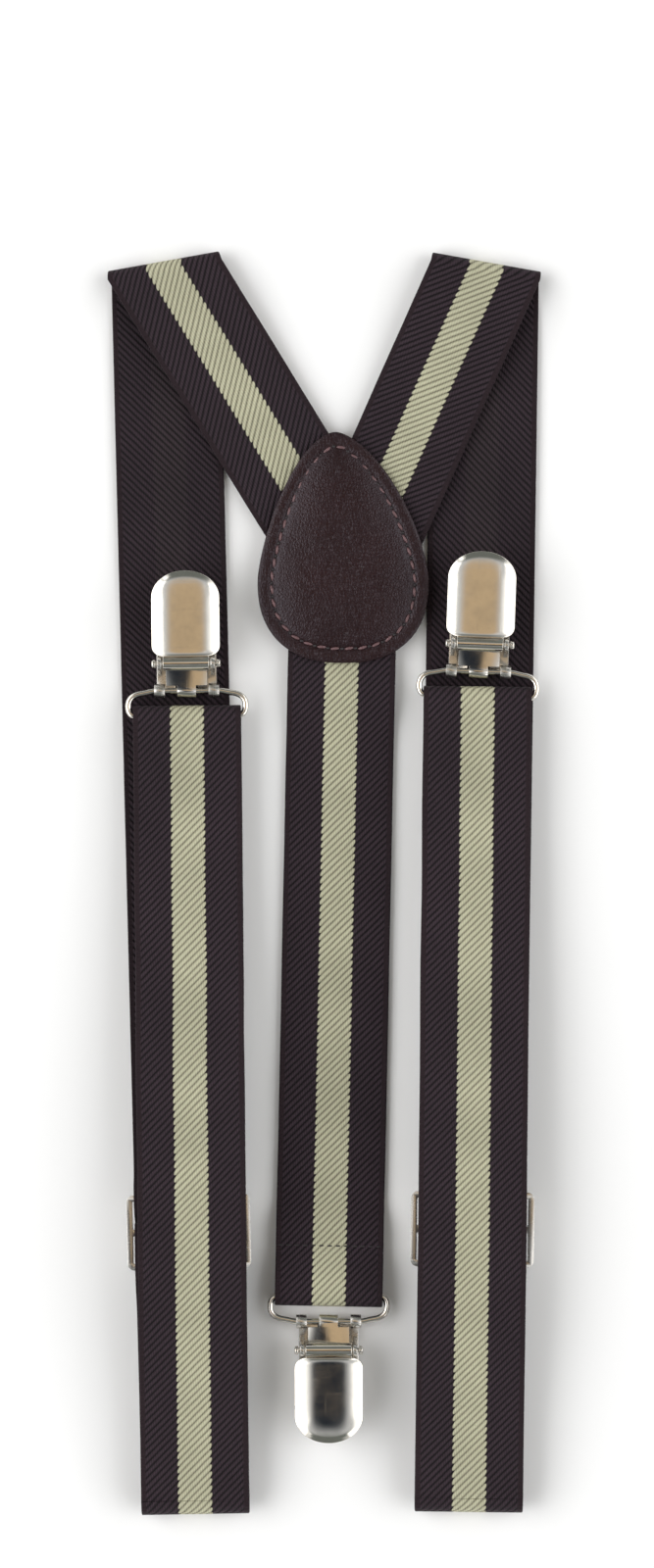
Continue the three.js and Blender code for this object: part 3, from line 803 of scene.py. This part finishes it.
# Points spaced evenly along a closed outline, and its whole length.
def evenly(outline, count):
    fine = outline + outline[:1]
    marks = measured(fine)
    found = []
    for i in range(count):
        s = marks[-1] * i / count
        k = min(bisect_right(marks, s) - 1, len(fine) - 2)
        t = (s - marks[k]) / max(marks[k + 1] - marks[k], 1e-9)
        found.append(Vector(fine[k]).lerp(Vector(fine[k + 1]), t))
    return found, marks[-1]


def patchOutline(count, fine=2400):
    return evenly([patchEdge(2 * math.pi * i / fine) for i in range(fine)], count)


# A sheet with the given outline, made of rings that close on its heart.
def layDisc(name, outline, heart, shares, heightAt, place, material):
    count = len(outline)
    bm = bmesh.new()
    bmesh.ops.create_circle(bm, cap_ends=False, segments=count, radius=1)
    edges = list(bm.edges)
    last = 1.0
    for share in shares:
        grown = bmesh.ops.extrude_edge_only(bm, edges=edges)["geom"]
        edges = [g for g in grown if isinstance(g, bmesh.types.BMEdge)]
        verts = [g for g in grown if isinstance(g, bmesh.types.BMVert)]
        bmesh.ops.scale(bm, vec=(share / last,) * 3, verts=verts)
        last = share
    cap = bmesh.ops.contextual_create(bm, geom=edges)["faces"]
    bmesh.ops.poke(bm, faces=cap)
    for vert in bm.verts:
        share = min(1.0, vert.co.length)
        angle = math.atan2(vert.co.y, vert.co.x) % (2 * math.pi)
        edge = outline[round(angle / (2 * math.pi) * count) % count]
        spot = heart.lerp(edge, share)
        height = heightAt(spot, (1 - share) * (edge - heart).length)
        vert.co = (place @ Vector((spot.x, spot.y, height))) * mm
    bmesh.ops.recalc_face_normals(bm, faces=bm.faces)
    if sum(f.normal.z for f in bm.faces) < 0:
        bmesh.ops.reverse_faces(bm, faces=bm.faces)
    return finishMesh(name, bm, [material])


def outlineArea(outline):
    pairs = zip(outline, outline[1:] + outline[:1])
    return abs(sum(a.x * b.y - b.x * a.y for a, b in pairs)) / 2 * mm * mm


def buildPatch():
    outline, _ = patchOutline(160)
    heart = Vector(patch["heart"])
    face = layDisc("patch_face", outline, heart, patch["rings"], patchHeight, Matrix(), leather)
    giveThickness(face, patch["thick"], offset=-1.0)
    softenEdges(face, 0.25, 3, 50)
    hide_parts("patch_front")
    backing = refined("patch_back", "patch_backing", leather, 0.3)
    sewn = buildPatchStitches()
    for piece, extra in ((face, sewn), (backing, [])):
        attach(piece, "yoke")
        outlineArea(outline)


# One stitch: a short plump thread whose ends dip into the hole.
def addStitch(bm, spot, direction, length, radius):
    made = bmesh.ops.create_uvsphere(bm, u_segments=10, v_segments=7, radius=1)["verts"]
    place = Matrix.Translation(spot) @ direction.to_track_quat("X", "Z").to_matrix().to_4x4()
    for vert in made:
        x, y, z = vert.co
        bow = 1 - abs(x) ** 3
        vert.co = place @ (Vector((x * length / 2, y * radius, z * radius + (bow - 1) * radius * 0.9)) * mm)


def buildPatchStitches():
    _, around = patchOutline(8)
    count = round((around - 2 * math.pi * patch["stitchInset"]) / patch["stitchPitch"])
    outline, _ = patchOutline(count * 4)
    heart = Vector(patch["heart"])
    bm = bmesh.new()
    holeShade = bmesh.new()

    def seamPoint(i):
        edge = outline[i % len(outline)]
        inward = (heart - edge).normalized()
        tangent = (outline[(i + 1) % len(outline)] - outline[i - 1]).normalized()
        normal = Vector((-tangent.y, tangent.x))
        share = patch["stitchInset"] / max(0.6, abs(normal.dot(inward)))
        return edge + inward * share, tangent

    for k in range(count):
        i = 4 * k
        spot, tangent = seamPoint(i)
        wobble = 0.12 * noise.noise((k * 1.7, 0.0, 3.0))
        height = patchHeight(spot, patch["stitchInset"]) + 0.16
        direction = Vector((tangent.x - 0.16 * tangent.y, tangent.y + 0.16 * tangent.x, wobble))
        addStitch(bm, Vector((spot.x + wobble, spot.y + wobble, height)) * mm, direction,
                  patch["stitchLength"], patch["threadRadius"])
        # painted shade: a small dark blob of the dark thread material sits in each needle hole, standing in
        # for the shade inside the hole
        spot, tangent = seamPoint(i + 2)
        height = patchHeight(spot, patch["stitchInset"]) - 0.02
        addStitch(holeShade, Vector((spot.x, spot.y, height)) * mm, Vector((tangent.x, tangent.y, 0)),
                  patch["holeLength"], patch["holeRadius"])
    stitches = finishMesh("patch_stitches", bm, [maroonThread])
    holeShadeDots = finishMesh("patch_needle_hole_shade", holeShade, [darkThreadAndHoleShade])
    for piece in (stitches, holeShadeDots):
        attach(piece, "yoke")
    return [stitches, holeShadeDots]


hem = {"length": 11.8, "underPatch": 14.0, "fall": 18.0, "stitches": 13, "stitchLength": 1.5, "thread": 0.2}


def buildBack():
    place = toPlan(backPlan["top"], backPlan["clipBar"])
    length = reach(backPlan["top"], backPlan["clipBar"]) - bails["barSpacing"]
    height = bails["backHeight"]
    path = [(0.0, floorLayer + layerPitch)]
    straightTo(path, hem["underPatch"], floorLayer + layerPitch)
    easeTo(path, hem["underPatch"] + hem["fall"], floorLayer)
    straightTo(path, length - 2 * hem["length"], floorLayer)
    easeTo(path, length - hem["length"] - 2, floorLayer + layerPitch + 0.1)
    seamMark = pathLength(path) + 2
    easeTo(path, length, height + bails["loopRadius"])
    turnTo(path, (length, height), bails["loopRadius"], 90, -90)
    straightTo(path, length - hem["length"], floorLayer)
    strap = layStrip("back_webbing", path, place, seed=9.0, wave=0.1)
    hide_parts("back_strap")
    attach(strap, "yoke")

    bm = bmesh.new()
    marks = measured(path)
    y, z = pointOn(path, marks, seamMark)
    across = (place.to_3x3() @ Vector((1, 0.05, 0))).normalized()
    for k in range(hem["stitches"]):
        u = webbing["width"] * (-0.46 + 0.92 * k / (hem["stitches"] - 1))
        wobble = 0.1 * noise.noise((k * 2.1, 1.0, 0.0))
        spot = place @ Vector((u, y + wobble, z + webbing["thick"] / 2 + 0.02))
        addStitch(bm, spot * mm, across, hem["stitchLength"], hem["thread"])
    seam = finishMesh("hem_stitches", bm, [darkThreadAndHoleShade])
    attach(seam, "yoke")
    return place, length


clip = {
    "pin": (6.2, 4.55), "leverLength": 27.8, "halfWidth": 7.95, "top": 6.05, "sheet": 0.7,
    "start": 1.7, "startHalfWidth": 5.4, "cornerEnd": 4.1, "roundLength": 6.3, "crown": 1.5, "dome": 0.9,
    "lip": 0.22, "lipReach": 1.1, "tipRoll": 1.25, "wire": 0.7, "bailHalfWidth": 13.6,
    "camWidth": 10.7, "camClosed": 2.6, "camOpen": 1.34, "camTurn": 95, "camSteps": 18, "barrelSteps": 13,
    "rings": [0.96, 0.92, 0.87, 0.82, 0.76, 0.70, 0.63, 0.56, 0.48, 0.40, 0.31, 0.22, 0.13, 0.06],
}


def curved(start, pull, end, t):
    return tuple(a * (1 - t) ** 2 + 2 * b * t * (1 - t) + c * t * t for a, b, c in zip(start, pull, end))


# A row of points round the bail's outline, with its corners rounded.
def bailRoute():
    low, wide = -bails["barSpacing"], clip["bailHalfWidth"]
    half = [(0.0, low), (6.0, low)]

    def corner(start, pull, end, count=8):
        half.extend(curved(start, pull, end, i / count) for i in range(count + 1))

    corner((wide - 2.0, low), (wide, low), (wide, 2.2 + low))
    corner((wide, 2.5 + low), (wide - 0.1, -0.95), (10.4, -0.55), 10)
    corner((9.0, -0.28), (8.1, 0.0), (7.4, 0.0), 4)
    half.append((3.0, 0.0))
    return half + [(-x, y) for x, y in reversed(half) if x > 0]


def buildBail(side, place):
    curve = bpy.data.curves.new(side + " bail route", "CURVE")
    curve.dimensions = "3D"
    curve.bevel_depth = clip["wire"] * mm
    curve.bevel_resolution = 5
    spline = curve.splines.new("POLY")
    route = bailRoute()
    spline.points.add(len(route) - 1)
    for point, (x, y) in zip(spline.points, route):
        point.co = (*((place @ Vector((x, y + bails["barSpacing"], 0))) * mm), 1)
    spline.use_cyclic_u = True
    shape = bpy.data.objects.new(side + " bail shape", curve)
    mesh = bpy.data.meshes.new_from_object(shape)
    bpy.data.objects.remove(shape)
    bm = bmesh.new()
    bm.from_mesh(mesh)
    bpy.data.meshes.remove(mesh)
    bmesh.ops.recalc_face_normals(bm, faces=bm.faces)
    wire = finishMesh(side + "_bail_wire", bm, [nickel])
    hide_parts(side + "_bail")
    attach(wire, side + "_bail")


# The outline of the lever's cover: a straight start with round corners, straight sides and an oval tip.
def coverOutline():
    half, wideFrom = clip["halfWidth"], clip["startHalfWidth"]
    start, corner = clip["pin"][0] + clip["start"], clip["pin"][0] + clip["cornerEnd"]
    roundEnd = clip["leverLength"] - clip["roundLength"]
    right = [(0.0, start), (wideFrom, start)]
    for i in range(1, 13):
        right.append(curved((wideFrom, start), (half, start + 0.4), (half, corner), i / 12))
    for i in range(25):
        angle = math.pi / 2 * i / 24
        right.append((half * math.cos(angle), roundEnd + clip["roundLength"] * math.sin(angle)))
    return evenly(right + [(-x, y) for x, y in reversed(right[1:-1])], 128)[0]


def coverHeight(point, fromEdge):
    across = abs(point.x / clip["halfWidth"])
    roundEnd = clip["leverLength"] - clip["roundLength"]
    tall = clip["top"] - clip["crown"] * across**2.5
    if point.y > roundEnd - 2:
        rise = (point.y - roundEnd + 2) / (clip["roundLength"] + 2)
        rim = math.hypot(across, max(0.0, point.y - roundEnd) / clip["roundLength"])
        tall -= clip["dome"] * rise**3 * (1 - 0.5 * across**2) + clip["tipRoll"] * max(0.0, rim - 0.8)
    lip = max(0.0, 1 - (point.y - clip["pin"][0] - clip["start"]) / clip["lipReach"])
    return tall + clip["lip"] * lip * lip


# The lever, in the clip's own place: origin on the bail's bar, Y to the tip.
def buildLever(side, place):
    pinY, pinZ = clip["pin"]
    heart = Vector((0, (pinY + clip["leverLength"]) / 2 + 1))
    cover = layDisc(side + "_lever_cover", coverOutline(), heart, clip["rings"], coverHeight, place, nickel)
    giveThickness(cover, clip["sheet"], offset=-1.0, even=False)
    softenEdges(cover, 0.2, 3, 50)
    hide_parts(side + "_lever")

    # the cam that the cover is formed with, as a profile pushed across the clip
    bm = bmesh.new()
    steps, barrelSteps = clip["camSteps"], clip["barrelSteps"]
    topRadius = clip["top"] - pinZ
    profile = []
    for i in range(steps + 1):
        radius = clip["camClosed"] + (clip["camOpen"] - clip["camClosed"]) * i / steps
        angle = math.radians(-90 - clip["camTurn"] * i / steps)
        profile.append((radius * math.cos(angle), radius * math.sin(angle)))
    for i in range(barrelSteps + 1):
        angle = math.radians(166 - 122 * i / barrelSteps)
        profile.append((topRadius * math.cos(angle), topRadius * math.sin(angle)))
    profile += [(1.5, topRadius - 0.62), (4.2, topRadius - 0.5), (4.2, topRadius - 0.9),
                (2.2, topRadius - 1.0), (1.7, -1.4)]
    edge = -clip["camWidth"] / 2
    ring = [bm.verts.new((place @ Vector((edge, pinY + y, pinZ + z))) * mm) for y, z in profile]
    face = bmesh.ops.contextual_create(bm, geom=ring)["faces"]
    pushed = bmesh.ops.extrude_face_region(bm, geom=face)["geom"]
    across = (place.to_3x3() @ Vector((clip["camWidth"], 0, 0))) * mm
    bmesh.ops.translate(bm, vec=across, verts=[g for g in pushed if isinstance(g, bmesh.types.BMVert)])
    bmesh.ops.recalc_face_normals(bm, faces=bm.faces)
    cam = finishMesh(side + "_lever_cam", bm, [nickel])
    softenEdges(cam, 0.25, 3, 40)
    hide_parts(side + "_lever")
    for piece in (cover, cam):
        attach(piece, side + "_lever")


def buildClip(side, place, height, turn):
    onStrapBar = place @ Matrix.Translation((0, 0, height)) @ Matrix.Rotation(math.radians(turn), 4, "Z")
    buildBail(side, onStrapBar)
    buildLever(side, onStrapBar @ Matrix.Translation((0, bails["barSpacing"], 0)))
    for node, body, material, slot, width in (
        ("_back_jaw", "_clip", frameNickel, "nickel", 0.14),
        ("_front_jaw", "_jaw", nickel, "nickel", 0.14),
        ("_grip_pad", "_clip", gripPlastic, "plastic", 0.08),
        ("_lever_pin", "_clip", nickel, "nickel", 0.12),
    ):
        piece = refined(side + node, side + node + "_shape", material, width)
        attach(piece, side + body)


places = {}
for side in ("left", "right"):
    frontPlace, length = buildSide(side)
    places[side] = frontPlace @ Matrix.Translation((0, length, 0))
    slider = refined(side + "_adjuster", side + "_adjuster_frame", frameNickel, 0.3)
    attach(slider, side + "_adjuster")
    print(side, "straps laid")
backPlace, backLength = buildBack()
places["back"] = backPlace @ Matrix.Translation((0, backLength, 0))
buildPatch()
print("patch and back strap sewn")
for side, height, turn in (("left", bails["frontHeight"], plan["left"]["clipTurn"]),
                           ("right", bails["frontHeight"], plan["right"]["clipTurn"]),
                           ("back", bails["backHeight"], backPlan["clipTurn"])):
    buildClip(side, places[side], height, turn)
print("clips assembled")


studio = {
    "floorSize": 60.0, "cameraHeight": 1.2163, "lens": 120.0, "aim": (0.45, 22.84),
    "sky": (0.62, 0.64, 0.67, 1), "overhead": (0.58, 0.44, 0.28, 1), "wings": (0.16, 0.175, 0.165, 1),
    "window": (3.0, 3.0, 3.0, 1), "overheadDim": (0.012, 0.018, 0.028, 1), "horizon": (1.0, 1.0, 1.0, 1),
    "floor": (0.93, 0.93, 0.93, 1), "floorPale": (0.96, 0.96, 0.96, 1),
    "softbox": {"spot": (-1.1, 0.1, 1.0), "aim": (0, 0, 0), "size": (1.4, 0.9), "power": 4,
                "color": (1.0, 0.99, 0.98)},
}


def buildStage():
    bm = bmesh.new()
    bmesh.ops.create_grid(bm, x_segments=2, y_segments=2, size=studio["floorSize"] / 2)
    material, tree, surface = newMaterial("pale floor", (0.9, 0.9, 0.9))
    mottle = addNoise(tree, objectPoint(tree), 14.0, 2.0)
    feed(tree, surface["Base Color"], mixColors(tree, mottle, studio["floor"], studio["floorPale"]))
    surface["Roughness"].default_value = 0.9
    surface["Specular IOR Level"].default_value = 0.1
    floor = finishMesh("floor", bm, [material], smooth=False)
    floor.data.transform(Matrix.Translation((0, 0, -0.1 * mm)))


def addSoftbox(name, spot, aim, size, power, color):
    lamp = bpy.data.lights.new(name, "AREA")
    lamp.shape = "RECTANGLE"
    lamp.size, lamp.size_y = size
    lamp.energy = power
    lamp.color = color
    holder = bpy.data.objects.new(name, lamp)
    holder.location = spot
    holder.rotation_euler = (Vector(aim) - Vector(spot)).to_track_quat("-Z", "Y").to_euler()
    scene.collection.objects.link(holder)


# The surroundings that the metal mirrors: pale windows at both sides, a tan ceiling that goes dark
# toward the low end, dark wings at the ends and a white horizon.
def buildLight():
    world = bpy.data.worlds.new("studio")
    world.use_nodes = True
    tree = world.node_tree
    parts = tree.nodes.new("ShaderNodeSeparateXYZ")
    direction = tree.nodes.new("ShaderNodeTexCoord").outputs["Generated"]
    feed(tree, parts.inputs[0], direction)
    high = parts.outputs["Z"]
    sideways = doMath(tree, "ABSOLUTE", parts.outputs["X"])
    endOn = doMath(tree, "ABSOLUTE", parts.outputs["Y"])
    room = mulAdd(tree, addNoise(tree, direction, 3.2, 2.0), 1.1, -0.55)
    wings = doMath(tree, "MULTIPLY", ramp(tree, endOn, 0.30, 0.60), ramp(tree, high, 0.15, 0.35))
    sky = mixColors(tree, wings, studio["sky"], studio["wings"])
    window = ramp(tree, doMath(tree, "ADD", sideways, room), 0.40, 0.85)
    window = doMath(tree, "MULTIPLY", window, ramp(tree, high, 0.05, 0.25))
    sky = mixColors(tree, window, sky, studio["window"])
    sky = mixColors(tree, ramp(tree, high, 0.03, 0.12), studio["horizon"], sky)
    dim = ramp(tree, parts.outputs["Y"], -0.07, -0.015)
    overhead = mixColors(tree, dim, studio["overheadDim"], studio["overhead"])
    sky = mixColors(tree, ramp(tree, high, 0.89, 0.97), sky, overhead)
    feed(tree, tree.nodes["Background"].inputs["Color"], sky)
    scene.world = world
    addSoftbox("left softbox", **studio["softbox"])


def buildCamera():
    data = bpy.data.cameras.new("camera")
    data.lens = studio["lens"]
    data.clip_start, data.clip_end = 0.05, 20
    camera = bpy.data.objects.new("camera", data)
    camera.location = (studio["aim"][0] * mm, studio["aim"][1] * mm, studio["cameraHeight"])
    scene.collection.objects.link(camera)
    scene.camera = camera


buildStage()
buildLight()
buildCamera()
scene.view_settings.view_transform = "Standard"
print("stage ready")
